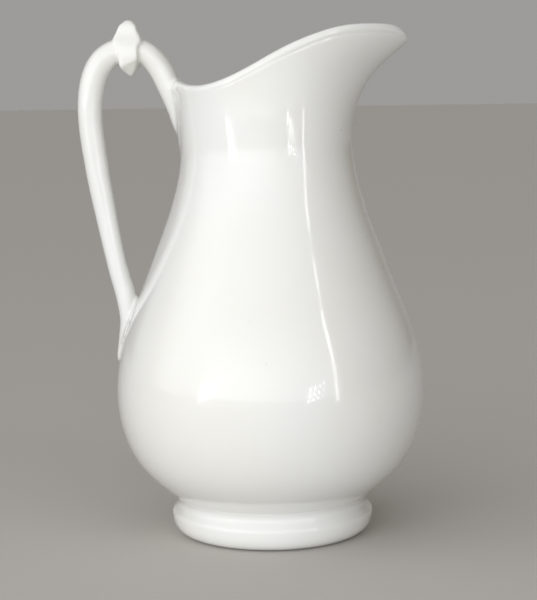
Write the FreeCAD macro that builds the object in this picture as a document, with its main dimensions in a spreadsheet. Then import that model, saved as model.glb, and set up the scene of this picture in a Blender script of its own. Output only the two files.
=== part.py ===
import FreeCAD, Part
import Sketcher
import math
import os

# A tall press-moulded ironstone water jug, in millimetres, +Z up.
# The origin is the centre of the foot's underside, on the axis of the body.
# The spout points along +X, the handle stands on the -X side, and the mould
# seam lies in the XZ plane.  Every piece is luted to its neighbours with slip.

V = FreeCAD.Vector
doc = FreeCAD.newDocument("water_jug")
sheet = doc.addObject("Spreadsheet::Sheet", "Sizes")
next_row = [1]


def size(alias, value, note=""):
    """Write one driving dimension into the sheet under a word of its own."""
    row = next_row[0]
    sheet.set("A%d" % row, note or alias.replace("_", " "))
    sheet.set("B%d" % row, "%g" % value)
    sheet.setAlias("B%d" % row, alias)
    next_row[0] += 1


def val(alias):
    return float(sheet.get(alias))


# ---------------------------------------------------------------- dimensions
size("wall", 5.0, "thickness of the pressed wall")
size("bead_radius", 3.3, "rolled lip, radius of its round section")
size("floor_thickness", 6.0, "bat that closes the floor")
size("foot_height", 22.0, "foot ring, table to bowl")
size("foot_bore", 44.5, "inner radius of the foot ring")
size("foot_rest_inner", 47.5, "inner radius of the flat the jug rests on")
size("foot_rest_outer", 52.6, "outer radius of the flat the jug rests on")
size("foot_heel", 59.2, "radius low on the outside of the foot")
size("foot_heel_height", 5.2)
size("foot_widest", 60.4, "widest radius of the foot")
size("foot_widest_height", 13.6)
size("foot_join_radius", 56.8, "radius where the foot meets the bowl")
size("foot_heel_round", 7.0)
size("foot_widest_round", 5.0)
size("foot_inner_lip", 3.0, "height of the inner bevel of the foot")

# Stations of the body's outside: height, radius at the back, reach at the
# front, half width across, and how pointed the front is towards the spout.
BODY_STATIONS = [
    ("join", 22.0, 56.8, 56.8, 56.8, 0.0),
    ("bowl_low", 28.0, 64.4, 64.4, 64.4, 0.0),
    ("bowl", 38.0, 75.5, 75.5, 75.5, 0.0),
    ("bowl_high", 50.0, 83.8, 83.8, 83.8, 0.0),
    ("belly_low", 64.0, 89.1, 89.1, 89.1, 0.0),
    ("belly", 80.0, 91.7, 91.7, 91.7, 0.0),
    ("belly_high", 96.0, 91.3, 91.3, 91.3, 0.0),
    ("shoulder_low", 112.0, 88.4, 88.4, 88.4, 0.0),
    ("shoulder", 130.0, 82.9, 82.9, 82.9, 0.0),
    ("shoulder_high", 150.0, 74.7, 74.7, 74.7, 0.0),
    ("taper_low", 170.0, 66.9, 66.9, 66.9, 0.0),
    ("taper", 190.0, 59.3, 59.3, 59.3, 0.0),
    ("taper_high", 210.0, 53.4, 53.4, 53.4, 0.0),
    ("neck", 225.0, 51.0, 50.8, 51.0, 0.0),
    ("neck_high", 238.0, 51.5, 50.2, 50.9, 0.0),
    ("flare_low", 250.0, 52.6, 51.8, 51.3, 0.04),
    ("flare", 260.0, 53.8, 55.2, 52.0, 0.12),
    ("flare_high", 269.0, 55.2, 60.3, 52.8, 0.22),
    ("lip_low", 278.0, 56.5, 68.0, 53.6, 0.32),
    ("lip", 284.0, 57.4, 75.0, 54.1, 0.38),
    ("lip_high", 290.0, 58.1, 83.0, 54.5, 0.43),
    ("trim_low", 297.0, 58.8, 93.0, 55.0, 0.48),
    ("trim", 304.0, 59.4, 103.0, 55.4, 0.52),
]
for name, height, back, reach, half_width, point in BODY_STATIONS:
    size(name + "_height", height)
    size(name + "_back", back)
    size(name + "_reach", reach)
    size(name + "_half_width", half_width)
    size(name + "_point", point)

# Line of the mouth in side view: distance from the axis, height of the lip's
# centre.  It is low by the handle, climbs to the spout and droops at its tip.
MOUTH_STATIONS = [
    ("mouth_behind", -78.0, 279.0),
    ("mouth_back", -58.0, 268.4),
    ("mouth_back_side", -48.0, 264.7),
    ("mouth_lowest", -39.4, 263.5),
    ("mouth_rise_one", -30.5, 264.8),
    ("mouth_rise_two", -23.6, 267.0),
    ("mouth_rise_three", -9.7, 273.3),
    ("mouth_rise_four", 6.2, 281.9),
    ("mouth_rise_five", 15.2, 286.3),
    ("mouth_rise_six", 26.1, 290.7),
    ("mouth_rise_seven", 41.0, 295.2),
    ("mouth_highest", 55.0, 297.0),
    ("mouth_droop_one", 65.0, 297.0),
    ("mouth_droop_two", 73.0, 295.6),
    ("mouth_tip", 80.4, 291.2),
    ("mouth_before", 92.0, 281.0),
]
for name, along, height in MOUTH_STATIONS:
    size(name + "_along", along)
    size(name + "_height", height)

# Stations of the handle's three lengths: position in the XZ plane, half
# thickness in that plane and half width across it.
STRAP_STATIONS = [
    ("strap_start", -80.0, 288.4, 7.4, 8.6),
    ("strap_shoulder", -88.6, 286.8, 7.6, 8.7),
    ("strap_turn_one", -95.6, 282.2, 7.8, 8.9),
    ("strap_turn_two", -100.1, 275.3, 7.8, 9.0),
    ("strap_turn_three", -102.8, 266.6, 7.7, 9.0),
    ("strap_back", -104.1, 256.0, 7.5, 8.9),
    ("strap_back_low", -104.1, 247.0, 7.3, 8.8),
    ("strap_fall_one", -103.1, 235.7, 7.3, 8.7),
    ("strap_fall_two", -101.6, 223.9, 7.1, 8.5),
    ("strap_fall_three", -99.9, 212.0, 6.95, 8.4),
    ("strap_fall_four", -97.8, 200.2, 6.7, 8.2),
    ("strap_fall_five", -95.7, 188.3, 6.4, 8.0),
    ("strap_fall_six", -93.5, 176.4, 6.1, 7.9),
    ("strap_fall_seven", -91.1, 164.4, 5.95, 7.9),
    ("strap_end", -88.3, 153.0, 6.0, 8.0),
]
LOWER_ROOT_STATIONS = [
    ("tail_start", -88.3, 153.0, 6.0, 8.0),
    ("tail_one", -86.2, 146.0, 6.2, 8.4),
    ("tail_two", -84.9, 138.5, 6.0, 9.0),
    ("tail_three", -84.3, 128.6, 4.9, 9.0),
    ("tail_four", -86.6, 118.0, 3.6, 7.6),
    ("tail_five", -88.4, 110.5, 2.5, 5.4),
    ("tail_tip", -88.9, 105.5, 1.2, 2.6),
]
# The thin leaf-shaped pad by which the tail is luted to the belly.
PAD_STATIONS = [
    ("pad_top", -74.0, 151.0, 2.2, 7.0),
    ("pad_upper", -77.2, 143.0, 3.3, 12.5),
    ("pad_middle", -81.0, 133.5, 3.5, 15.5),
    ("pad_lower", -85.1, 122.5, 3.1, 12.5),
    ("pad_foot", -88.0, 112.5, 2.3, 7.0),
    ("pad_tip", -89.4, 106.5, 1.2, 2.8),
]
UPPER_ROOT_STATIONS = [
    ("branch_start", -80.0, 288.4, 7.2, 8.6),
    ("branch_one", -73.2, 287.4, 7.2, 8.7),
    ("branch_two", -66.4, 282.6, 7.3, 9.2),
    ("branch_three", -61.1, 275.8, 7.6, 9.8),
    ("branch_four", -57.0, 268.5, 8.0, 10.6),
    ("branch_five", -54.4, 259.4, 6.7, 9.8),
    ("branch_six", -51.7, 250.0, 5.5, 7.8),
    ("branch_seven", -50.1, 241.0, 4.1, 5.4),
    ("branch_tip", -49.2, 234.0, 1.8, 2.8),
]
for name, along, height, half_thick, half_wide in (
        STRAP_STATIONS + LOWER_ROOT_STATIONS + PAD_STATIONS + UPPER_ROOT_STATIONS):
    size(name + "_along", along)
    size(name + "_height", height)
    size(name + "_half_thick", half_thick)
    size(name + "_half_wide", half_wide)

# Stations of the square knop on top of the handle: height, half size along
# the handle, half size across it, tilt of the section and its lean forward.
size("knop_along", -80.6, "distance of the knop from the axis")
size("knop_turn", -8.0, "degrees the knop is turned about its axis")
KNOP_STATIONS = [
    ("knop_drop_tip", 273.4, 0.9, 0.9, 0.0, 1.6),
    ("knop_drop_low", 276.2, 3.9, 4.2, -6.0, 1.5),
    ("knop_drop", 279.4, 6.6, 7.4, -12.0, 1.1),
    ("knop_girth_low", 282.4, 8.4, 9.8, -17.0, 0.4),
    ("knop_girth", 288.0, 8.9, 10.4, -8.0, 0.0),
    ("knop_girth_high", 293.5, 8.6, 9.6, 0.0, 0.0),
    ("knop_neck", 298.2, 7.2, 7.6, 0.0, -0.3),
    ("knop_dome_low", 301.6, 5.9, 6.0, 0.0, -0.4),
    ("knop_dome", 304.0, 3.9, 3.9, 0.0, -0.5),
    ("knop_top", 305.0, 1.2, 1.2, 0.0, -0.5),
]
for name, height, half_along, half_across, tilt, lean in KNOP_STATIONS:
    size(name + "_height", height)
    size(name + "_half_along", half_along)
    size(name + "_half_across", half_across)
    size(name + "_tilt", tilt)
    size(name + "_lean", lean)

size("reach_limit", 140.0, "half size of the boxes that split the body")
size("box_height", 320.0)
doc.recompute()


# ------------------------------------------------------------------- helpers
def spline_through(points, closed=False):
    curve = Part.BSplineCurve()
    curve.interpolate(Points=points, PeriodicFlag=closed)
    return curve


def graph_of(xs, ys):
    """A smooth line y over x, whose parameter is x itself."""
    curve = Part.BSplineCurve()
    curve.interpolate(Points=[V(x, 0, y) for x, y in zip(xs, ys)], Parameters=xs)
    return curve


station_heights = [val(s[0] + "_height") for s in BODY_STATIONS]
body_graph = {field: graph_of(station_heights, [val(s[0] + field) for s in BODY_STATIONS])
              for field in ("_back", "_reach", "_half_width", "_point")}


def body_value(field, height):
    """Smooth value of one field of the body at a height."""
    return body_graph[field].value(height).z


def egg_point(angle, back, reach, half_width, point, height):
    """A point of the body's egg-shaped plan; angle 0 is the spout."""
    c, s = math.cos(angle), math.sin(angle)
    x = (reach - back) / 4.0 * (1.0 + math.cos(2.0 * angle)) + (reach + back) / 2.0 * c
    y = half_width * s * (1.0 - point * max(0.0, c) ** 3)
    return V(x, y, height)


def plan_curve(back, reach, half_width, point, height, count=32):
    angles = [2.0 * math.pi * (i + 0.5) / count for i in range(count)]
    points = [egg_point(a, back, reach, half_width, point, height) for a in angles]
    return spline_through(points, closed=True)


def slant(field, height, step=1.0):
    low = max(height - step, val("join_height"))
    high = min(height + step, val("trim_height"))
    rise = (body_value(field, high) - body_value(field, low)) / (high - low)
    return math.sqrt(1.0 + rise ** 2)


def feature(name, shape):
    obj = doc.addObject("Part::Feature", name)
    obj.Shape = shape
    return obj


def loft(name, sections):
    obj = doc.addObject("Part::Loft", name)
    obj.Sections = sections
    obj.Solid = True
    obj.Ruled = False
    return obj


def cut(name, base, tool):
    obj = doc.addObject("Part::Cut", name)
    obj.Base, obj.Tool = base, tool
    return obj


def place(obj, label):
    obj.Label = label
    obj.Placement = FreeCAD.Placement()
    pieces.append((label, obj))


pieces = []

# ---------------------------------------------------------- body of the jug
outside, inside = [], []
for name, *_ in BODY_STATIONS:
    height = val(name + "_height")
    back, reach, half_width, point = (
        val(name + f) for f in ("_back", "_reach", "_half_width", "_point"))
    wall = val("wall")
    outside.append(feature("outside_" + name, Part.Wire(
        plan_curve(back, reach, half_width, point, height).toShape())))
    inside.append(feature("inside_" + name, Part.Wire(plan_curve(
        back - wall * slant("_back", height), reach - wall * slant("_reach", height),
        half_width - wall * slant("_half_width", height), point, height).toShape())))
outer_form = loft("outer_form", outside)
inner_form = loft("inner_form", inside)
pressed_wall = cut("pressed_wall", outer_form, inner_form)

# The mouth is trimmed along a line that is curved in side view.
mouth_line = graph_of([val(n + "_along") for n, _, _ in MOUTH_STATIONS],
                      [val(n + "_height") for n, _, _ in MOUTH_STATIONS])
limit = val("reach_limit")
first, last = mouth_line.value(mouth_line.FirstParameter), mouth_line.value(mouth_line.LastParameter)
top = val("box_height")
outline = Part.Wire([
    mouth_line.toShape(),
    Part.makeLine(last, V(limit, 0, last.z)), Part.makeLine(V(limit, 0, last.z), V(limit, 0, top)),
    Part.makeLine(V(limit, 0, top), V(-limit, 0, top)), Part.makeLine(V(-limit, 0, top), V(-limit, 0, first.z)),
    Part.makeLine(V(-limit, 0, first.z), first)])
trim_face = Part.Face(outline)
trim_face.translate(V(0, -limit, 0))
mouth_trim = feature("mouth_trim", trim_face.extrude(V(0, 2.0 * limit, 0)))
trimmed_wall = cut("trimmed_wall", pressed_wall, mouth_trim)


# ------------------------------------------------------------- rolled lip
def lip_centre(angle):
    """Where the middle of the wall meets the line of the mouth."""
    low, high = val("neck_high_height"), val("trim_height")
    for _ in range(34):
        height = 0.5 * (low + high)
        values = [body_value(f, height) - 0.5 * val("wall") * slant(f, height)
                  for f in ("_back", "_reach", "_half_width")]
        spot = egg_point(angle, *values, body_value("_point", height), height)
        if height < mouth_line.value(spot.x).z:
            low = height
        else:
            high = height
    return spot


# The roll is swept in two runs, from the spout round each side to the back.
LIP_POINTS = 44
lip_path = spline_through([lip_centre(2.0 * math.pi * i / LIP_POINTS)
                           for i in range(LIP_POINTS)], closed=True)
ends = [lip_path.FirstParameter, 0.5 * (lip_path.FirstParameter + lip_path.LastParameter),
        lip_path.LastParameter]
runs = []
for side, begin, end in (("left", ends[0], ends[1]), ("right", ends[1], ends[2])):
    run = lip_path.copy()
    run.segment(begin, end)
    spine = feature("lip_path_" + side, Part.Wire(run.toShape()))
    section = doc.addObject("Part::Circle", "lip_section_" + side)
    section.setExpression("Radius", "Sizes.bead_radius")
    section.Placement = FreeCAD.Placement(
        lip_path.value(begin), FreeCAD.Rotation(V(0, 0, 1), lip_path.tangent(begin)[0]))
    sweep = doc.addObject("Part::Sweep", "lip_run_" + side)
    sweep.Spine = (spine, ["Edge1"])
    sweep.Sections = [section]
    sweep.Solid = True
    sweep.Frenet = False
    runs.append(sweep)
rim_roll = doc.addObject("Part::Fuse", "rim_roll")
rim_roll.Base, rim_roll.Tool = runs
grooved_wall = cut("grooved_wall", trimmed_wall, rim_roll)

# The body was pressed in two half moulds and joined along the XZ plane.
half_mould = doc.addObject("Part::Box", "half_mould")
half_mould.setExpression("Length", "2 * Sizes.reach_limit")
half_mould.setExpression("Width", "Sizes.reach_limit")
half_mould.setExpression("Height", "Sizes.box_height")
half_mould.Placement = FreeCAD.Placement(V(-limit, 0, 0), FreeCAD.Rotation())
left_half = doc.addObject("Part::Common", "body_left_half")
left_half.Base, left_half.Tool = grooved_wall, half_mould
right_half = doc.addObject("Part::Mirroring", "body_right_half")
right_half.Source = left_half
right_half.Base = V(0, 0, 0)
right_half.Normal = V(0, 1, 0)
place(left_half, "body_left_half")
place(right_half, "body_right_half")

# ------------------------------------------------------------- floor and foot
floor_slab = doc.addObject("Part::Box", "floor_slab")
floor_slab.setExpression("Length", "2 * Sizes.reach_limit")
floor_slab.setExpression("Width", "2 * Sizes.reach_limit")
floor_slab.setExpression("Height", "Sizes.floor_thickness")
floor_slab.Placement = FreeCAD.Placement(V(-limit, -limit, val("foot_height")), FreeCAD.Rotation())
base_disc = doc.addObject("Part::Common", "base_disc")
base_disc.Base, base_disc.Tool = inner_form, floor_slab
place(base_disc, "base_disc")

foot_body = doc.addObject("PartDesign::Body", "foot_body")
foot_sketch = foot_body.newObject("Sketcher::SketchObject", "foot_profile")
side_plane = [f for f in foot_body.Origin.OriginFeatures if f.Role == "XZ_Plane"][0]
foot_sketch.AttachmentSupport = [(side_plane, "")]
foot_sketch.MapMode = "FlatFace"
FOOT_CORNERS = [
    ("foot_rest_inner", None), ("foot_rest_outer", None), ("foot_heel", "foot_heel_height"),
    ("foot_widest", "foot_widest_height"), ("foot_join_radius", "foot_height"),
    ("foot_bore", "foot_height"), ("foot_bore", "foot_inner_lip")]
corners = [V(val(r), val(z) if z else 0.0, 0) for r, z in FOOT_CORNERS]
for i, corner in enumerate(corners):
    foot_sketch.addGeometry(Part.LineSegment(corner, corners[(i + 1) % len(corners)]), False)
for i in range(len(corners)):
    foot_sketch.addConstraint(Sketcher.Constraint("Coincident", i, 2, (i + 1) % len(corners), 1))
for i, (radius, height) in enumerate(FOOT_CORNERS):
    k = foot_sketch.addConstraint(Sketcher.Constraint("DistanceX", -1, 1, i, 1, corners[i].x))
    foot_sketch.setExpression("Constraints[%d]" % k, "Sizes." + radius)
    if height:
        k = foot_sketch.addConstraint(Sketcher.Constraint("DistanceY", -1, 1, i, 1, corners[i].y))
        foot_sketch.setExpression("Constraints[%d]" % k, "Sizes." + height)
    else:
        foot_sketch.addConstraint(Sketcher.Constraint("PointOnObject", i, 1, -1))
foot_turned = foot_body.newObject("PartDesign::Revolution", "foot_turned")
foot_turned.Profile = foot_sketch
foot_turned.ReferenceAxis = (foot_sketch, ["V_Axis"])
foot_turned.Angle = 360.0
doc.recompute()


def rims_at(shape, radius, height):
    names = []
    for i, edge in enumerate(shape.Edges):
        box = edge.BoundBox
        if (abs(box.ZMax - height) < 0.01 and abs(box.ZMin - height) < 0.01
                and abs(box.XMax - radius) < 0.05):
            names.append("Edge%d" % (i + 1))
    return names


foot_base = foot_turned
for radius, height, rounding in (("foot_heel", "foot_heel_height", "foot_heel_round"),
                                 ("foot_widest", "foot_widest_height", "foot_widest_round")):
    edges = rims_at(foot_base.Shape, val(radius), val(height))
    soft = foot_body.newObject("PartDesign::Fillet", rounding)
    soft.Base = (foot_base, edges)
    soft.setExpression("Radius", "Sizes." + rounding)
    doc.recompute()
    foot_base = soft
foot_body.Tip = foot_base
place(foot_body, "foot_ring")
place(rim_roll, "rim_roll")


# ------------------------------------------------------------------ handle
def oval_sections(stations):
    """Ovals square to the handle's centre line, wide across the jug."""
    line = spline_through([V(val(s[0] + "_along"), 0, val(s[0] + "_height")) for s in stations])
    out = []
    for s in stations:
        centre = V(val(s[0] + "_along"), 0, val(s[0] + "_height"))
        heading = line.tangent(line.parameter(centre))[0]
        oval = doc.addObject("Part::Ellipse", s[0])
        oval.setExpression("MajorRadius", "Sizes.%s_half_wide" % s[0])
        oval.setExpression("MinorRadius", "Sizes.%s_half_thick" % s[0])
        across, inward = V(0, 1, 0), heading.cross(V(0, 1, 0))
        turn = FreeCAD.Rotation(across, inward, heading, "ZXY")
        oval.Placement = FreeCAD.Placement(centre, turn)
        out.append(oval)
    return out


def rounded_square(name):
    """One section of the knop: a soft square, turned and tilted."""
    count, points = 24, []
    for i in range(count):
        a = 2.0 * math.pi * (i + 0.5) / count
        c, s = math.cos(a), math.sin(a)
        r = (abs(c) ** 3.4 + abs(s) ** 3.4) ** (-1.0 / 3.4)
        points.append(V(val(name + "_half_along") * r * c, val(name + "_half_across") * r * s, 0))
    wire = Part.Wire(spline_through(points, closed=True).toShape())
    turn = FreeCAD.Rotation(V(0, 0, 1), val("knop_turn"))
    tilt = FreeCAD.Rotation(V(0, 1, 0), val(name + "_tilt"))
    centre = V(val("knop_along") + val(name + "_lean"), 0, val(name + "_height"))
    wire.Placement = FreeCAD.Placement(centre, tilt * turn)
    return feature("section_" + name, wire)


knop = loft("knop", [rounded_square(s[0]) for s in KNOP_STATIONS])
strap_form = loft("strap_form", oval_sections(STRAP_STATIONS))
strap = cut("strap", strap_form, knop)
branch_form = loft("branch_form", oval_sections(UPPER_ROOT_STATIONS))
branch_off_knop = cut("branch_off_knop", branch_form, knop)
branch_off_lip = cut("branch_off_lip", branch_off_knop, rim_roll)
branch = cut("branch", branch_off_lip, outer_form)
tail_form = loft("tail_form", oval_sections(LOWER_ROOT_STATIONS))
pad_form = loft("pad_form", oval_sections(PAD_STATIONS))
padded_tail = doc.addObject("Part::Fuse", "padded_tail")
padded_tail.Base, padded_tail.Tool = tail_form, pad_form
tail = cut("tail", padded_tail, outer_form)
place(strap, "handle_strap")
place(knop, "handle_knop")
place(branch, "handle_upper_root")
place(tail, "handle_lower_root")
doc.recompute()

# ------------------------------------------------------------------- checks
failed = [o.Name for o in doc.Objects if "Invalid" in o.State or "Error" in o.State]
if failed:
    raise SystemExit("these objects failed: " + ", ".join(failed))
os.makedirs("parts", exist_ok=True)
for label, obj in pieces:
    shape = obj.Shape
    if shape.isNull() or not shape.isValid() or not shape.Solids:
        raise SystemExit("the shape of %s is not sound" % label)
    box = shape.BoundBox
    print("%-20s solids %d volume %.0f  x %.1f %.1f  y %.1f %.1f  z %.1f %.1f" % (
        label, len(shape.Solids), shape.Volume, box.XMin, box.XMax, box.YMin, box.YMax,
        box.ZMin, box.ZMax))
for label, obj in pieces:
    obj.Shape.exportStep("parts/%s.step" % label)
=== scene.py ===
import math
import bmesh
import bpy
from mathutils import Matrix, Vector


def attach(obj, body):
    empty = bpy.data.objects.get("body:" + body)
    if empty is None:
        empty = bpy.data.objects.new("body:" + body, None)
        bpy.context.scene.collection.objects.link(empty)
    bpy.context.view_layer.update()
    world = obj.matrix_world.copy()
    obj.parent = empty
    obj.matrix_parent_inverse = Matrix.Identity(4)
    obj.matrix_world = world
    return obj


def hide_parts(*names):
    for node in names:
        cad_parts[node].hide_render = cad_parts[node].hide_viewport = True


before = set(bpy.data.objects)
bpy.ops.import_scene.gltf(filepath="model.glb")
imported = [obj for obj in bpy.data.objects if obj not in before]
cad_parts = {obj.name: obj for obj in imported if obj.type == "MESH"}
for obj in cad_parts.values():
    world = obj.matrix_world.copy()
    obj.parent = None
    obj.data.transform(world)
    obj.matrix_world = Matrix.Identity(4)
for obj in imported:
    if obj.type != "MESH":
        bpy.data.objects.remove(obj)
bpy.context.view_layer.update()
ops = bpy.ops

# ------------------------------------------------------------------ the shape
# All sizes are in metres.  The jug stands on z = 0, spout along +X, handle at -X.
WALL = 0.005
BEAD = 0.0031               # half the thickness of the rolled lip
BEAD_LIFT = 0.0002          # the bead's middle above the line of the mouth
LIP_SWELL = 0.0005          # how far the wall swells out just under the bead
NECK = 0.225                # where turning ends and the mouth is drawn out
AROUND = 64                 # points round the body
TURNED_RINGS = 26
DRAWN_RINGS = 14
LIFT = 0.0002               # how far a fresh ring is first raised off the last one
NEAR = 0.00002              # two points this close are the same point
WELD = 1e-6
ORIGIN = (0.0, 0.0, 0.0)

# height, reach at the back, reach at the front, half width, how pointed the front is
BODY = [
    (0.0220, 0.0568, 0.0568, 0.0568, 0.0),
    (0.0280, 0.0644, 0.0644, 0.0644, 0.0),
    (0.0380, 0.0755, 0.0755, 0.0755, 0.0),
    (0.0500, 0.0838, 0.0838, 0.0838, 0.0),
    (0.0640, 0.0891, 0.0891, 0.0891, 0.0),
    (0.0800, 0.0917, 0.0917, 0.0917, 0.0),
    (0.0960, 0.0913, 0.0913, 0.0913, 0.0),
    (0.1120, 0.0884, 0.0884, 0.0884, 0.0),
    (0.1300, 0.0829, 0.0829, 0.0829, 0.0),
    (0.1500, 0.0747, 0.0747, 0.0747, 0.0),
    (0.1700, 0.0669, 0.0669, 0.0669, 0.0),
    (0.1900, 0.0593, 0.0593, 0.0593, 0.0),
    (0.2100, 0.0534, 0.0534, 0.0534, 0.0),
    (0.2250, 0.0510, 0.0508, 0.0510, 0.0),
    (0.2380, 0.0515, 0.0502, 0.0509, 0.0),
    (0.2500, 0.0526, 0.0518, 0.0513, 0.04),
    (0.2600, 0.0538, 0.0552, 0.0520, 0.12),
    (0.2690, 0.0552, 0.0603, 0.0528, 0.22),
    (0.2780, 0.0565, 0.0680, 0.0536, 0.32),
    (0.2840, 0.0574, 0.0750, 0.0541, 0.38),
    (0.2900, 0.0581, 0.0822, 0.0545, 0.42),
    (0.2970, 0.0588, 0.0885, 0.0550, 0.45),
    (0.3040, 0.0594, 0.0935, 0.0554, 0.47),
]
# the line of the mouth in side view: distance from the axis, height of the lip
MOUTH = [
    (-0.0780, 0.2790), (-0.0580, 0.2684), (-0.0480, 0.2647), (-0.0394, 0.2635),
    (-0.0305, 0.2648), (-0.0236, 0.2670), (-0.0097, 0.2733), (0.0062, 0.2819),
    (0.0152, 0.2863), (0.0261, 0.2907), (0.0410, 0.2952), (0.0550, 0.2970),
    (0.0650, 0.2972), (0.0730, 0.2965), (0.0772, 0.2948), (0.0800, 0.2924), (0.0860, 0.2850),
]


class Line:
    """A smooth natural spline y(x) through a maker's points."""

    def __init__(self, xs, ys):
        self.xs, self.ys = list(xs), list(ys)
        n = len(self.xs)
        gap = [self.xs[i + 1] - self.xs[i] for i in range(n - 1)]
        rise = [(self.ys[i + 1] - self.ys[i]) / gap[i] for i in range(n - 1)]
        diagonal, right, bend = [1.0] * n, [0.0] * n, [0.0] * n
        for i in range(1, n - 1):
            carried = gap[i - 1] / diagonal[i - 1] if i > 1 else 0.0
            diagonal[i] = 2.0 * (gap[i - 1] + gap[i]) - gap[i - 1] * carried
            right[i] = 6.0 * (rise[i] - rise[i - 1]) - right[i - 1] * carried
        for i in range(n - 2, 0, -1):
            bend[i] = (right[i] - gap[i] * bend[i + 1]) / diagonal[i]
        self.gap, self.bend = gap, bend

    def __call__(self, x):
        xs, ys, bend = self.xs, self.ys, self.bend
        i = 0
        while i < len(self.gap) - 1 and x > xs[i + 1]:
            i += 1
        w, a, b = self.gap[i], xs[i + 1] - x, x - xs[i]
        curved = (bend[i] * a ** 3 + bend[i + 1] * b ** 3) / (6.0 * w)
        return curved + (ys[i] / w - bend[i] * w / 6.0) * a + (ys[i + 1] / w - bend[i + 1] * w / 6.0) * b

    def slope(self, x, step=0.0004):
        return (self(x + step) - self(x - step)) / (2.0 * step)


HEIGHTS = [row[0] for row in BODY]
back_line, reach_line, width_line, point_line = (
    Line(HEIGHTS, [row[k] for row in BODY]) for k in (1, 2, 3, 4))
mouth_line = Line([p[0] for p in MOUTH], [p[1] for p in MOUTH])


def plan(angle, height, inset=0.0):
    """A point of the body's plan; angle 0 is the spout, inset is depth below the outside."""
    back, reach, width = (
        line(height) - inset * math.hypot(1.0, line.slope(height))
        for line in (back_line, reach_line, width_line))
    c, s = math.cos(angle), math.sin(angle)
    x = (reach - back) / 4.0 * (1.0 + math.cos(2.0 * angle)) + (reach + back) / 2.0 * c
    y = width * s * (1.0 - point_line(height) * max(0.0, c) ** 3)
    return x, y


def lip_height(angle, inset):
    """The height at which a layer of the wall meets the line of the mouth."""
    low, high = 0.238, 0.303
    for _ in range(30):
        middle = 0.5 * (low + high)
        if middle < mouth_line(plan(angle, middle, inset)[0]):
            low = middle
        else:
            high = middle
    return 0.5 * (low + high)


# ------------------------------------------------------------- bench helpers
def clear_bench():
    if bpy.context.object and bpy.context.object.mode != "OBJECT":
        ops.object.mode_set(mode="OBJECT")
    ops.object.select_all(action="DESELECT")


def only(piece):
    clear_bench()
    piece.select_set(True)
    bpy.context.view_layer.objects.active = piece


def scrap(piece):
    only(piece)
    ops.object.delete()


def edit(piece):
    """Take a piece into edit mode with all of it selected."""
    only(piece)
    ops.object.mode_set(mode="EDIT")
    ops.mesh.select_mode(type="VERT")
    ops.mesh.select_all(action="SELECT")


def done():
    ops.object.mode_set(mode="OBJECT")


def choose(piece, wanted):
    """In edit mode, select only the points of the piece for which wanted(point) is true."""
    mesh = bmesh.from_edit_mesh(piece.data)
    for point in mesh.verts:
        point.select = False
    mesh.select_flush(False)
    for point in mesh.verts:
        if wanted(point):
            point.select = True
    mesh.select_flush(True)
    bmesh.update_edit_mesh(piece.data, loop_triangles=False, destructive=False)


def apply(piece, kind, **settings):
    """Add one modifier to a piece and apply it."""
    only(piece)
    step = piece.modifiers.new("step", kind)
    for key, value in settings.items():
        setattr(step, key, value)
    ops.object.modifier_apply(modifier=step.name)


def round_off(piece, levels):
    apply(piece, "SUBSURF", levels=levels, render_levels=levels)


def shade_smooth(piece):
    only(piece)
    ops.object.shade_smooth()


def shade_by_angle(piece, degrees=40.0):
    """Smooth, but with every corner sharper than this angle kept as an edge."""
    only(piece)
    ops.object.shade_smooth_by_angle(angle=math.radians(degrees))


def face_outwards(piece):
    edit(piece)
    ops.mesh.normals_make_consistent(inside=False)
    done()


def wall_outwards(piece):
    """An open wall has no inside of its own, so its widest face decides which way is out."""
    face_outwards(piece)
    widest = max(piece.data.polygons, key=lambda f: f.center.xy.length if f.center.z < NECK else 0.0)
    if widest.normal.xy.dot(widest.center.xy) < 0.0:
        edit(piece)
        ops.mesh.flip_normals()
        done()


def circle(name, radius, height, count=AROUND):
    clear_bench()
    ops.mesh.primitive_circle_add(vertices=count, radius=radius, fill_type="NOTHING",
                                  location=(0.0, 0.0, height))
    piece = bpy.context.object
    piece.name = piece.data.name = name
    only(piece)
    ops.object.transform_apply(location=True, rotation=True, scale=True)
    return piece


def raise_ring(rise=0.0):
    ops.mesh.extrude_region_move(TRANSFORM_OT_translate={"value": (0.0, 0.0, rise)})


def turned(name, profile, closed=False):
    """A piece turned about the jug's axis from its profile of (radius, height)."""
    radius, height = profile[0]
    piece = circle(name, radius, height)
    edit(piece)
    run = profile[1:] + (profile[:1] if closed else [])
    for next_radius, next_height in run:
        raise_ring(next_height - height)
        ratio = next_radius / radius
        ops.transform.resize(value=(ratio, ratio, 1.0), center_override=(0.0, 0.0, next_height))
        radius, height = next_radius, next_height
    if closed:
        ops.mesh.select_all(action="SELECT")
        ops.mesh.remove_doubles(threshold=WELD)
    done()
    return piece


def copy_of(piece, name):
    clear_bench()
    twin = piece.copy()
    twin.data = piece.data.copy()
    twin.name = twin.data.name = name
    bpy.context.collection.objects.link(twin)
    return twin


def within(piece, low, high):
    """Keep only what lies in a box."""
    clear_bench()
    ops.mesh.primitive_cube_add(size=1.0, location=[(a + b) / 2.0 for a, b in zip(low, high)],
                                scale=[b - a for a, b in zip(low, high)])
    box = bpy.context.object
    apply(piece, "BOOLEAN", object=box, operation="INTERSECT", solver="EXACT")
    scrap(box)
    return piece


def keep_shading(piece, source, where=""):
    """A cut piece keeps the smooth run of the surface that it was cut from."""
    apply(piece, "DATA_TRANSFER", object=source, use_loop_data=True,
          data_types_loops={"CUSTOM_NORMAL"}, vertex_group=where,
          loop_mapping="POLYINTERP_NEAREST" if where else "NEAREST_POLYNOR")


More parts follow.
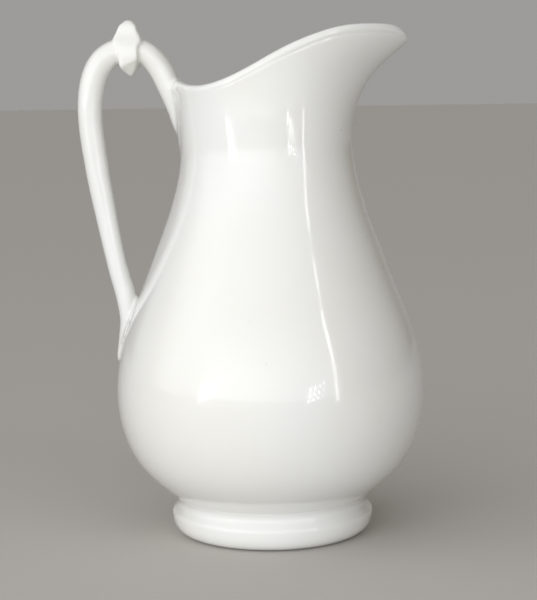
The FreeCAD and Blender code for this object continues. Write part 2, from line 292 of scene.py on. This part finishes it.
def melt_into(piece, source, reach):
    """Where a piece lies close to the wall that it grows from, its shading runs into the wall's."""
    meet = piece.vertex_groups.new(name="meeting")
    meet.add([v.index for v in piece.data.vertices], 1.0, "REPLACE")
    apply(piece, "VERTEX_WEIGHT_PROXIMITY", vertex_group="meeting", target=source,
          proximity_mode="GEOMETRY", proximity_geometry={"FACE"}, min_dist=reach, max_dist=0.0)
    keep_shading(piece, source, "meeting")


def carve(whole, name, cuts):
    """A piece cut from a whole by planes: each cut is (a point, the side that is kept)."""
    piece = copy_of(whole, name)
    for point, side in cuts:
        edit(piece)
        ops.mesh.bisect(plane_co=point, plane_no=side, use_fill=True, clear_inner=True,
                        clear_outer=False, threshold=WELD)
        done()
    shade_by_angle(piece)
    keep_shading(piece, whole)
    return piece


def other_side(cut):
    point, side = cut
    return point, tuple(-value for value in side)


# --------------------------------------------------------------- the body
ANGLES = [2.0 * math.pi * i / AROUND for i in range(AROUND // 2 + 1)]
LIP = [lip_height(angle, WALL / 2.0) for angle in ANGLES]
# rounding off draws a ring of points in, so each ring is made this much too wide
OVERSIZE = 3.0 / (2.0 + math.cos(2.0 * math.pi / AROUND))


def throw_body():
    """The body as one open wall: turned up to the neck, then drawn out into lip and spout."""
    foot = HEIGHTS[0]
    first = foot + 0.0032
    # the first rings lie close together, so that rounding off leaves the lower edge where it is
    heights = [foot, foot + 0.0008, first]
    heights += [first + (NECK - first) * (i + 1) / TURNED_RINGS for i in range(TURNED_RINGS)]
    body = turned("body", [(width_line(z) * OVERSIZE, z) for z in heights])
    radius = width_line(NECK) * OVERSIZE
    last = [(radius * math.cos(a), radius * math.sin(a), NECK) for a in ANGLES]
    edit(body)
    for number in range(1, DRAWN_RINGS + 1):
        part = number / DRAWN_RINGS
        choose(body, lambda p: p.is_boundary and p.co.z > 0.5 * (foot + NECK))
        raise_ring(LIFT)
        fresh = []
        for angle, top, (old_x, old_y, old_z) in zip(ANGLES, LIP, last):
            z = NECK + (top - NECK) * part
            x, y = (value * OVERSIZE for value in plan(angle, z, -LIP_SWELL * part ** 8))
            # each point of the fresh ring is drawn out together with its twin on the other side
            choose(body, lambda p: abs(p.co.x - old_x) < NEAR and abs(p.co.z - old_z - LIFT) < NEAR
                   and abs(abs(p.co.y) - abs(old_y)) < NEAR)
            ops.transform.translate(value=(x - old_x, 0.0, z - old_z - LIFT))
            if abs(old_y) > WELD:
                ops.transform.resize(value=(1.0, y / old_y, 1.0), center_override=ORIGIN)
            fresh.append((x, y, z))
        last = fresh
    done()
    wall_outwards(body)
    return body


body_whole = throw_body()
wall_skin = copy_of(body_whole, "wall_skin")
apply(body_whole, "SOLIDIFY", thickness=WALL, offset=-1.0, use_even_offset=True, use_rim=True)
round_off(body_whole, 2)
shade_by_angle(body_whole)
SEAM = (ORIGIN, (0.0, 1.0, 0.0))
body_left = carve(body_whole, "body_left_half_pressed", [SEAM])
body_right = carve(body_whole, "body_right_half_pressed", [other_side(SEAM)])


# --------------------------------------------------------- lip, floor and foot
def roll_lip(name, fullness, spout_thinning, side_thinning):
    """A clay coil laid along the whole line of the mouth, thinner at the spout or the sides."""
    clear_bench()
    ops.curve.primitive_bezier_circle_add(radius=0.05, location=ORIGIN)
    coil = bpy.context.object
    coil.name = coil.data.name = name
    ops.object.mode_set(mode="EDIT")
    ops.curve.select_all(action="SELECT")
    ops.curve.subdivide(number_cuts=15)
    for i in range(len(coil.data.splines[0].bezier_points)):
        point = coil.data.splines[0].bezier_points[i]
        angle = math.atan2(point.co.y, point.co.x) % (2.0 * math.pi)
        top = lip_height(angle, WALL / 2.0)
        x, y = plan(angle, top, WALL / 2.0)
        ops.curve.select_all(action="DESELECT")
        point.select_control_point = True
        point.select_left_handle = point.select_right_handle = True
        ops.transform.translate(value=(x - point.co.x, y - point.co.y, top + BEAD_LIFT - point.co.z))
        spout = max(0.0, math.cos(angle)) ** 12
        back = max(0.0, -math.cos(angle)) ** 8
        coil.data.splines[0].bezier_points[i].radius = (
            fullness - spout_thinning * spout - side_thinning * (1.0 - back))
    ops.curve.select_all(action="SELECT")
    ops.curve.handle_type_set(type="AUTOMATIC")
    done()
    coil.data.dimensions = "3D"
    coil.data.twist_mode = "MINIMUM"
    coil.data.bevel_depth = BEAD
    coil.data.bevel_resolution = 7
    coil.data.resolution_u = 4
    only(coil)
    ops.object.convert(target="MESH")
    coil = bpy.context.object
    edit(coil)
    ops.mesh.remove_doubles(threshold=WELD)
    ops.mesh.normals_make_consistent(inside=False)
    done()
    shade_smooth(coil)
    return coil


rim_roll = roll_lip("rim_roll_bead", 1.0, 0.04, 0.0)

# radius and height: under the foot, up its rounded side, into the cove below the belly, and back inside
FOOT = [
    (0.0478, 0.0004), (0.0498, 0.0000), (0.0514, 0.0000), (0.0534, 0.0004), (0.0562, 0.0017),
    (0.0583, 0.0038), (0.0597, 0.0066), (0.0603, 0.0096), (0.0605, 0.0118), (0.0603, 0.0132),
    (0.0596, 0.0144), (0.0585, 0.0155), (0.0575, 0.0168), (0.0568, 0.0184), (0.0568, 0.0202),
    (0.0574, 0.0217), (0.0583, 0.0230),
    (0.0580, 0.0234), (0.0560, 0.0224), (0.0500, 0.0220), (0.0460, 0.0216),
    (0.0447, 0.0200), (0.0443, 0.0150), (0.0444, 0.0090), (0.0450, 0.0040), (0.0462, 0.0014),
]
foot_ring = turned("foot_ring_turned", FOOT, closed=True)
face_outwards(foot_ring)
round_off(foot_ring, 2)
shade_smooth(foot_ring)

# radius and height: the underside out to the wall, the slanted edge, and the top back to the middle
BAT = [
    (0.0010, 0.0219), (0.0300, 0.0220), (0.0470, 0.0222), (0.0482, 0.0228), (0.0566, 0.0284),
    (0.0570, 0.0292), (0.0560, 0.0288), (0.0500, 0.0282), (0.0300, 0.0280), (0.0010, 0.0280),
]
floor_disc = turned("base_disc_bat", BAT)
for hole_radius, hole_height in (BAT[0], BAT[-1]):
    edit(floor_disc)
    choose(floor_disc, lambda p: p.co.xy.length < 2.0 * hole_radius and abs(p.co.z - hole_height) < 0.0001)
    ops.mesh.merge(type="CENTER")
    done()
face_outwards(floor_disc)
round_off(floor_disc, 1)
shade_smooth(floor_disc)


# ------------------------------------------------------------------ handle
# distance from the axis, height, half thickness in side view, half width across
STRAP = [
    (-0.0800, 0.2884, 0.0074, 0.0086), (-0.0886, 0.2868, 0.0076, 0.0087),
    (-0.0956, 0.2822, 0.0078, 0.0089), (-0.1001, 0.2753, 0.0078, 0.0090),
    (-0.1028, 0.2666, 0.0077, 0.0090), (-0.1041, 0.2560, 0.0075, 0.0089),
    (-0.1041, 0.2470, 0.0073, 0.0088), (-0.1031, 0.2357, 0.0073, 0.0087),
    (-0.1016, 0.2239, 0.0071, 0.0085), (-0.0999, 0.2120, 0.00695, 0.0084),
    (-0.0978, 0.2002, 0.0067, 0.0082), (-0.0957, 0.1883, 0.0064, 0.0080),
    (-0.0935, 0.1764, 0.0061, 0.0079), (-0.0911, 0.1644, 0.00595, 0.0079),
    (-0.0883, 0.1530, 0.0060, 0.0080), (-0.0862, 0.1460, 0.0062, 0.0084),
    (-0.0849, 0.1385, 0.0060, 0.0088), (-0.0845, 0.1286, 0.0050, 0.0086),
    (-0.0866, 0.1180, 0.0039, 0.0072), (-0.0883, 0.1105, 0.0031, 0.0056),
    (-0.0892, 0.1050, 0.0024, 0.0040), (-0.0894, 0.1026, 0.0013, 0.0022),
]
BRANCH = [
    (-0.0800, 0.2884, 0.0072, 0.0086), (-0.0732, 0.2874, 0.0072, 0.0087),
    (-0.0664, 0.2826, 0.0073, 0.0090), (-0.0613, 0.2757, 0.0076, 0.0094),
    (-0.0578, 0.2682, 0.0075, 0.0100), (-0.0546, 0.2594, 0.0069, 0.0100),
    (-0.0517, 0.2500, 0.0060, 0.0088), (-0.0501, 0.2410, 0.0047, 0.0068),
    (-0.0492, 0.2340, 0.0018, 0.0028),
]
OVAL = 24                   # points round the strap
BETWEEN = 2                 # ovals drawn for each station
GRAIN = 0.00055             # how finely the luted handle is worked into one mesh


def close_ends(piece):
    """Close both open ends of a pulled length."""
    edit(piece)
    ops.mesh.fill_holes(sides=0)
    done()
    face_outwards(piece)


def pull_strap(name, stations):
    """A pulled strap of clay: ovals drawn one from the last along the handle's line."""
    knots = [0.0]
    for a, b in zip(stations, stations[1:]):
        knots.append(knots[-1] + math.hypot(b[0] - a[0], b[1] - a[1]))
    lines = [Line(knots, [station[k] for station in stations]) for k in range(4)]
    ways = [knots[0]]
    for a, b in zip(knots, knots[1:]):
        ways += [a + (b - a) * (j + 1) / BETWEEN for j in range(BETWEEN)]
    piece = circle(name, 1.0, 0.0, OVAL)
    edit(piece)
    along, height, thick, wide = (line(ways[0]) for line in lines)
    lean = math.atan2(lines[0].slope(ways[0]), lines[1].slope(ways[0]))
    ops.transform.resize(value=(thick, wide, thick), center_override=ORIGIN)
    ops.transform.rotate(value=-lean, orient_axis="Y", center_override=ORIGIN)
    ops.transform.translate(value=(along, 0.0, height))
    for way in ways[1:]:
        raise_ring()
        next_along, next_height, next_thick, next_wide = (line(way) for line in lines)
        next_lean = math.atan2(lines[0].slope(way), lines[1].slope(way))
        turn = (next_lean - lean + math.pi) % (2.0 * math.pi) - math.pi
        spot = (along, 0.0, height)
        thicker = next_thick / thick
        ops.transform.resize(value=(thicker, next_wide / wide, thicker), center_override=spot)
        ops.transform.rotate(value=-turn, orient_axis="Y", center_override=spot)
        ops.transform.translate(value=(next_along - along, 0.0, next_height - height))
        along, height, thick, wide, lean = next_along, next_height, next_thick, next_wide, next_lean
    done()
    close_ends(piece)
    round_off(piece, 1)
    return piece


# height, place along, half along, half across, slope of the section in degrees
KNOP = [
    (0.2726, -0.0794, 0.0009, 0.0012, 0.0), (0.2736, -0.0794, 0.0018, 0.0030, 4.0),
    (0.2760, -0.0792, 0.0036, 0.0058, 14.0), (0.2789, -0.0789, 0.0058, 0.0092, 24.0),
    (0.2796, -0.0789, 0.0062, 0.0102, 24.0), (0.2806, -0.0789, 0.0063, 0.0106, 24.0),
    (0.2850, -0.0792, 0.0064, 0.0107, 12.0),
    (0.2900, -0.0797, 0.0068, 0.0102, 0.0), (0.2930, -0.0801, 0.0092, 0.0086, 0.0),
    (0.2955, -0.0805, 0.0082, 0.0068, 0.0), (0.2980, -0.0805, 0.0068, 0.0058, 0.0),
    (0.3005, -0.0804, 0.0058, 0.0058, 0.0), (0.3028, -0.0804, 0.0049, 0.0050, 0.0),
    (0.3045, -0.0804, 0.0036, 0.0036, 0.0), (0.3055, -0.0804, 0.0016, 0.0016, 0.0),
]
KNOP_TURN = 8.0             # degrees by which the knop was set out of square
KNOP_MIDDLE = (KNOP[6][1], 0.0, 0.0)
CORNER = 0.0010             # how much is taken off the knop's corners


def cut_knop():
    """The square knop: a four-sided drop below, a swelling boss, and a soft dome on top."""
    block = circle("knop_block", math.sqrt(2.0), 0.0, 4)
    edit(block)
    ops.transform.rotate(value=math.radians(45.0), orient_axis="Z", center_override=ORIGIN)
    height, along, half_along, half_across, slope = 0.0, 0.0, 1.0, 1.0, 0.0
    for station in KNOP:
        if station is not KNOP[0]:
            raise_ring()
        next_height, next_along, next_half_along, next_half_across, next_slope = station
        spot = (along, 0.0, height)
        growth = (next_half_along / half_along, next_half_across / half_across, 1.0)
        ops.transform.rotate(value=-math.radians(slope), orient_axis="Y", center_override=spot)
        ops.transform.resize(value=growth, center_override=spot)
        ops.transform.rotate(value=math.radians(next_slope), orient_axis="Y", center_override=spot)
        ops.transform.translate(value=(next_along - along, 0.0, next_height - height))
        height, along, half_along, half_across, slope = station
    done()
    close_ends(block)
    edit(block)
    mesh = bmesh.from_edit_mesh(block.data)
    for edge in mesh.edges:
        run = edge.verts[1].co - edge.verts[0].co
        edge.select = abs(run.z) > 0.0004 and edge.calc_face_angle(0.0) > 0.9
    mesh.select_flush_mode()
    ops.mesh.bevel(offset=CORNER, segments=1, affect="EDGES", clamp_overlap=True)
    ops.mesh.select_all(action="SELECT")
    ops.transform.rotate(value=math.radians(KNOP_TURN), orient_axis="Z", center_override=KNOP_MIDDLE)
    done()
    round_off(block, 2)
    return block


LEAF_THICKNESS = 0.0040
LEAF_ROOM = 0.026           # more than half of any leaf


def pat_leaf(name, proud, size, lean, centre):
    """A thin leaf of clay that lutes a root to the wall, patted to the wall's own curve."""
    slab = copy_of(wall_skin, name)
    round_off(slab, 1)
    apply(slab, "DISPLACE", strength=proud, mid_level=0.0)
    apply(slab, "SOLIDIFY", thickness=LEAF_THICKNESS, offset=-1.0, use_even_offset=True, use_rim=True)
    within(slab, [c - LEAF_ROOM for c in centre], [c + LEAF_ROOM for c in centre])
    clear_bench()
    ops.mesh.primitive_uv_sphere_add(segments=40, ring_count=24, radius=1.0, location=ORIGIN)
    outline = bpy.context.object
    edit(outline)
    ops.transform.resize(value=size)
    # narrowed in four steps towards its lower end
    for share in (0.2, -0.3, -0.6, -0.83):
        choose(outline, lambda p: p.co.z < share * size[2])
        ops.transform.resize(value=(1.0, 0.84, 1.0), center_override=ORIGIN)
    ops.mesh.select_all(action="SELECT")
    ops.transform.rotate(value=math.radians(lean), orient_axis="Y", center_override=ORIGIN)
    ops.transform.translate(value=centre)
    done()
    apply(slab, "BOOLEAN", object=outline, operation="INTERSECT", solver="EXACT")
    scrap(outline)
    return slab


def slip_pads():
    """Slip under the upper root: a thin pad on the neck and a core in the lip, for it to grow out of."""
    low, high = (-0.066, -0.036, 0.216), (-0.030, 0.036, 0.276)
    pad = copy_of(wall_skin, "neck_pad")
    round_off(pad, 1)
    apply(pad, "DISPLACE", strength=0.0002, mid_level=0.0)
    apply(pad, "SOLIDIFY", thickness=0.0030, offset=-1.0, use_even_offset=True, use_rim=True)
    within(pad, low, high)
    edit(pad)
    # narrowed, so that its edges dive under the neck's own skin
    ops.transform.resize(value=(1.0, 0.96, 1.0), center_override=ORIGIN)
    done()
    return [pad, within(roll_lip("lip_core", 1.45, 0.0, 0.57), low, high)]


def softness(place):
    """The knop's faces stay crisp, the tail's edge half so; every other junction is smoothed over."""
    if abs(place.x + 0.0795) < 0.0046 and place.z < 0.2965:
        return 0.0 if place.z < 0.2850 else 0.4
    return 0.4 + 0.6 * min(1.0, max(0.0, (place.z - 0.1280) / 0.0140))


def in_a_fillet(place):
    """Where the handle grows out of the neck, and in the crotch above the tail."""
    return place.x > -0.0640 or (place.x > -0.0870 and 0.1390 < place.z < 0.1560)


def smooth_over(piece, iterations, weight=None):
    """Smooth a piece, all over or as much as weight(place) says at each point."""
    name = ""
    if weight:
        name = weight.__name__
        group = piece.vertex_groups.new(name=name)
        for v in piece.data.vertices:
            group.add([v.index], float(weight(v.co)), "REPLACE")
    apply(piece, "SMOOTH", factor=0.5, iterations=iterations, vertex_group=name)


def form_handle():
    """The whole handle, luted up from its lengths, knop, leaves and slip, and smoothed by hand."""
    strap = pull_strap("handle_length", STRAP)
    branch = pull_strap("handle_branch", BRANCH)
    knop = cut_knop()
    tail_leaf = pat_leaf("tail_leaf", 0.0014, (0.0120, 0.0145, 0.0192), -21.0, (-0.0825, 0.0, 0.1245))
    root_leaf = pat_leaf("root_leaf", 0.0013, (0.0120, 0.0150, 0.0230), 4.0, (-0.0520, 0.0, 0.2500))
    lumps = [branch, knop, tail_leaf, root_leaf] + slip_pads()
    only(strap)
    for lump in lumps:
        lump.select_set(True)
    ops.object.join()
    whole = bpy.context.object
    whole.name = whole.data.name = "handle_whole"
    apply(whole, "REMESH", mode="VOXEL", voxel_size=GRAIN)
    smooth_over(whole, 8)
    smooth_over(whole, 40, softness)
    smooth_over(whole, 30, in_a_fillet)
    shade_smooth(whole)
    return whole


KNOP_SIDE = ((-0.0885, 0.0, 0.2870), (0.134, 0.0, 0.0185))
NECK_SIDE = ((-0.0715, 0.0, 0.2800), (1.0, 0.0, 0.0))
ABOVE_TAIL = ((-0.0883, 0.0, 0.1530), (-0.22, 0.0, 0.975))
handle_whole = form_handle()
handle_strap = carve(handle_whole, "handle_strap_pulled", [other_side(KNOP_SIDE), ABOVE_TAIL])
handle_knop = carve(handle_whole, "handle_knop_cut", [KNOP_SIDE, other_side(NECK_SIDE), ABOVE_TAIL])
upper_root = carve(handle_whole, "handle_upper_root_branch", [NECK_SIDE, ABOVE_TAIL])
lower_root = carve(handle_whole, "handle_lower_root_tail", [other_side(ABOVE_TAIL)])
for piece, reach in ((upper_root, 0.0022), (lower_root, 0.0012), (rim_roll, 0.0006)):
    melt_into(piece, body_whole, reach)


# ------------------------------------------------------------------ finishes
class Socket:
    """Wraps a node's output so that shader maths reads as maths."""

    def __init__(self, finish, out):
        self.finish, self.out = finish, out

    def maths(self, operation, a, b):
        return self.finish.node("ShaderNodeMath", {"operation": operation}, {0: a, 1: b})

    def __add__(self, other):
        return self.maths("ADD", self, other)

    def __radd__(self, other):
        return self.maths("ADD", other, self)

    def __sub__(self, other):
        return self.maths("SUBTRACT", self, other)

    def __rsub__(self, other):
        return self.maths("SUBTRACT", other, self)

    def __mul__(self, other):
        return self.maths("MULTIPLY", self, other)

    def __rmul__(self, other):
        return self.maths("MULTIPLY", other, self)

    def over(self, low, high):
        """0 below low, 1 above high, smooth between."""
        return self.finish.node("ShaderNodeMapRange", {"interpolation_type": "SMOOTHSTEP"},
                                {"Value": self, "From Min": low, "From Max": high})


class Finish:
    """One material and the nodes it is built from."""

    def __init__(self, name):
        self.material = bpy.data.materials.new(name)
        self.material.use_nodes = True
        self.tree = self.material.node_tree
        self.shader = self.tree.nodes["Principled BSDF"]
        self.place = self.node("ShaderNodeTexCoord", {}, {}, "Object")

    def node(self, kind, settings, inputs, output=0):
        made = self.tree.nodes.new(kind)
        for key, value in settings.items():
            setattr(made, key, value)
        for key, value in inputs.items():
            self.feed(made.inputs[key], value)
        return Socket(self, made.outputs[output])

    def feed(self, socket, value):
        if isinstance(value, Socket):
            self.tree.links.new(value.out, socket)
        else:
            socket.default_value = value

    def set(self, **values):
        for key, value in values.items():
            self.feed(self.shader.inputs[key.replace("_", " ")], value)

    def mix(self, factor, a, b):
        return self.node("ShaderNodeMix", {"data_type": "RGBA"}, {0: factor, 6: a, 7: b}, 2)

    def noise(self, scale, detail=2.0, rough=0.5):
        return self.node("ShaderNodeTexNoise", {}, {"Vector": self.place, "Scale": scale,
                                                    "Detail": detail, "Roughness": rough})

    def cells(self, scale):
        """Distance from the nearest of many scattered points."""
        return self.node("ShaderNodeTexVoronoi", {}, {"Vector": self.place, "Scale": scale,
                                                      "Randomness": 1.0}, "Distance")

    def bump(self, height, strength, distance):
        return self.node("ShaderNodeBump", {}, {"Strength": strength, "Distance": distance,
                                                "Height": height}, "Normal")


def rgb(*parts):
    return (*parts, 1.0)


def ironstone_glaze():
    """Clear glaze over a white body: glossy, faintly uneven, with a few iron specks."""
    glaze = Finish("ironstone_glaze_body")
    cloud = glaze.noise(9.0, 3.0)
    stain = glaze.noise(26.0, 4.0, 0.62)
    colour = glaze.mix(cloud.over(0.38, 0.66), rgb(0.805, 0.795, 0.745), rgb(0.805, 0.805, 0.775))
    colour = glaze.mix(stain.over(0.62, 0.80) * 0.35, colour, rgb(0.775, 0.75, 0.685))
    specks = glaze.cells(95.0)
    rare = glaze.noise(60.0, 0.0)
    spot = (1.0 - specks.over(0.035, 0.075)) * rare.over(0.66, 0.69)
    colour = glaze.mix(spot * 0.5, colour, rgb(0.20, 0.13, 0.08))
    ripple = glaze.noise(34.0)
    skin = glaze.noise(420.0)
    glaze.set(Base_Color=colour, Roughness=0.09 + 0.10 * stain.over(0.35, 0.75),
              Normal=glaze.bump(ripple * 0.85 + skin * 0.03, 0.25, 0.0010),
              Coat_Weight=0.6, Coat_Roughness=0.04, Coat_IOR=1.5, IOR=1.5)
    glaze.set(Subsurface_Weight=0.06, Subsurface_Radius=(0.8, 0.7, 0.5), Subsurface_Scale=0.003)
    return glaze.material


glaze_material = ironstone_glaze()
# piece, its finish in the record, the CAD node that it stands for
PIECES = [
    (body_left, "white_glaze", "body_left_half"),
    (body_right, "white_glaze", "body_right_half"),
    (rim_roll, "lip_glaze", "rim_roll"),
    (foot_ring, "foot_glaze", "foot_ring"),
    (floor_disc, "bat_glaze", "base_disc"),
    (handle_strap, "handle_glaze", "handle_strap"),
    (handle_knop, "handle_glaze", "handle_knop"),
    (upper_root, "handle_glaze", "handle_upper_root"),
    (lower_root, "handle_glaze", "handle_lower_root"),
]
for piece, slot, node in PIECES:
    for glazed in (piece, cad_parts[node]):
        glazed.data.materials.clear()
        glazed.data.materials.append(glaze_material)
    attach(piece, "root")
    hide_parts(node)
for whole in (body_whole, wall_skin, handle_whole):
    scrap(whole)


# ------------------------------------------------------------------ studio
def lay_table():
    clear_bench()
    ops.mesh.primitive_plane_add(size=60.0, location=(0.0, 0.0, -0.0002))
    table = bpy.context.object
    table.name = "floor"
    paper = Finish("pale_paper")
    paper.set(Base_Color=rgb(0.57, 0.55, 0.515), Roughness=0.9, Specular_IOR_Level=0.0)
    table.data.materials.append(paper.material)


def softbox(name, place, aim, width, height, power, colour=(1.0, 1.0, 1.0)):
    lamp = bpy.data.lights.new(name, "AREA")
    lamp.shape, lamp.size, lamp.size_y = "RECTANGLE", width, height
    lamp.energy, lamp.color = power, colour
    box = bpy.data.objects.new(name, lamp)
    box.location = place
    box.rotation_euler = (Vector(aim) - Vector(place)).to_track_quat("-Z", "Y").to_euler()
    bpy.context.collection.objects.link(box)
    box.visible_camera = False
    return box


MIDDLE = (0.0, 0.0, 0.14)   # the middle of the jug, at which the lamps aim
WINDOW_DISTANCE = 1.8
# side, bearing in degrees from straight ahead, brightness of its first column of panes
WINDOWS = [("left", -48.0, 0.13), ("right", 30.0, 0.11)]


def hang_lamps():
    softbox("strip_right", (1.20, -1.08, 0.55), MIDDLE, 0.07, 1.1, 1.1)
    # the bright panes of a low window, in two groups that glint on the neck and on the belly
    for side, bearing, power in WINDOWS:
        for column in range(4):
            for row in range(3):
                turn = math.radians(bearing + 3.4 * (column - 1) + 0.9 * row)
                place = (WINDOW_DISTANCE * math.sin(turn), -WINDOW_DISTANCE * math.cos(turn),
                         0.06 + 0.11 * row + 0.03 * column)
                softbox("pane_%s_%d_%d" % (side, column, row), place, MIDDLE,
                        0.05 - 0.012 * row, 0.06, power * (1.0 - 0.25 * column))
    # a broad soft light from low in front, which leaves no shine of its own
    low_fill = softbox("low_fill", (-0.80, -2.0, 0.40), (0.0, 0.0, 0.08), 2.4, 0.6, 24.0, (0.94, 0.96, 1.0))
    low_fill.visible_glossy = False


UP, TO_THE_LENS, FROM_THE_LENS = (0.0, 0.0, 1.0), (0.0, -1.0, 0.0), (0.0, 1.0, 0.0)


def studio_light():
    """A white room: bright in front and to the left, falling off to a warm grey on the right."""
    world = bpy.data.worlds.new("studio")
    bpy.context.scene.world = world
    world.use_nodes = True
    room = world.node_tree
    way = room.nodes.new("ShaderNodeTexCoord").outputs["Generated"]

    def lobe(towards, low, high):
        """0 away from a direction, 1 near it."""
        aim = room.nodes.new("ShaderNodeVectorMath")
        aim.operation = "DOT_PRODUCT"
        room.links.new(way, aim.inputs[0])
        aim.inputs[1].default_value = Vector(towards).normalized()
        fade = room.nodes.new("ShaderNodeMapRange")
        fade.interpolation_type = "SMOOTHERSTEP"
        room.links.new(aim.outputs["Value"], fade.inputs["Value"])
        fade.inputs["From Min"].default_value, fade.inputs["From Max"].default_value = low, high
        return fade.outputs["Result"]

    def edge(bearing, low, high):
        """1 on the side of the room that a bearing points to, 0 on the other side.

        Bearing 0 points right as the lens sees it, and 90 away from the lens.
        """
        turn = math.radians(bearing)
        return lobe((math.cos(turn), math.sin(turn), 0.0), low, high)

    def blend(factor, a, b):
        mix = room.nodes.new("ShaderNodeMix")
        mix.data_type = "RGBA"
        room.links.new(factor, mix.inputs[0])
        for slot, value in ((6, a), (7, b)):
            if isinstance(value, tuple):
                mix.inputs[slot].default_value = value
            else:
                room.links.new(value, mix.inputs[slot])
        return mix.outputs[2]

    back, left, right = rgb(0.335, 0.33, 0.32), rgb(1.15, 1.15, 1.17), rgb(0.10, 0.075, 0.05)
    front = blend(edge(0.0, -0.7, 0.7), rgb(1.48, 1.51, 1.58), rgb(1.01, 1.03, 1.07))
    front = blend(lobe(UP, 0.15, 0.75), front, rgb(0.62, 0.63, 0.66))
    sides = blend(lobe(TO_THE_LENS, -0.35, 0.25), back, left)
    front_side = blend(edge(-52.0, -0.10, 0.12), sides, front)
    front_only = blend(lobe(TO_THE_LENS, 0.0, 0.3), sides, front_side)
    light = blend(edge(50.0, -0.04, 0.08), front_only, right)
    light = blend(lobe(FROM_THE_LENS, 0.75, 0.95), light, back)
    light = blend(lobe(UP, 0.55, 0.95), light, rgb(0.6, 0.6, 0.6))
    room.links.new(light, room.nodes["Background"].inputs["Color"])


def set_camera():
    """A long lens a metre away, a little above the jug and tilted down to it."""
    lens = bpy.data.cameras.new("camera")
    lens.sensor_width = 36.0
    lens.lens = 101.3
    camera = bpy.data.objects.new("camera", lens)
    bpy.context.collection.objects.link(camera)
    tilt = Matrix.Rotation(math.radians(90.0 - 7.005), 3, "X")
    roll = Matrix.Rotation(math.radians(-0.8), 3, "Z")
    camera.location = (-0.00065, -1.0, 0.262)
    camera.rotation_euler = (tilt @ roll).to_euler()
    bpy.context.scene.camera = camera
    bpy.context.scene.view_settings.view_transform = "Standard"


lay_table()
hang_lamps()
studio_light()
set_camera()
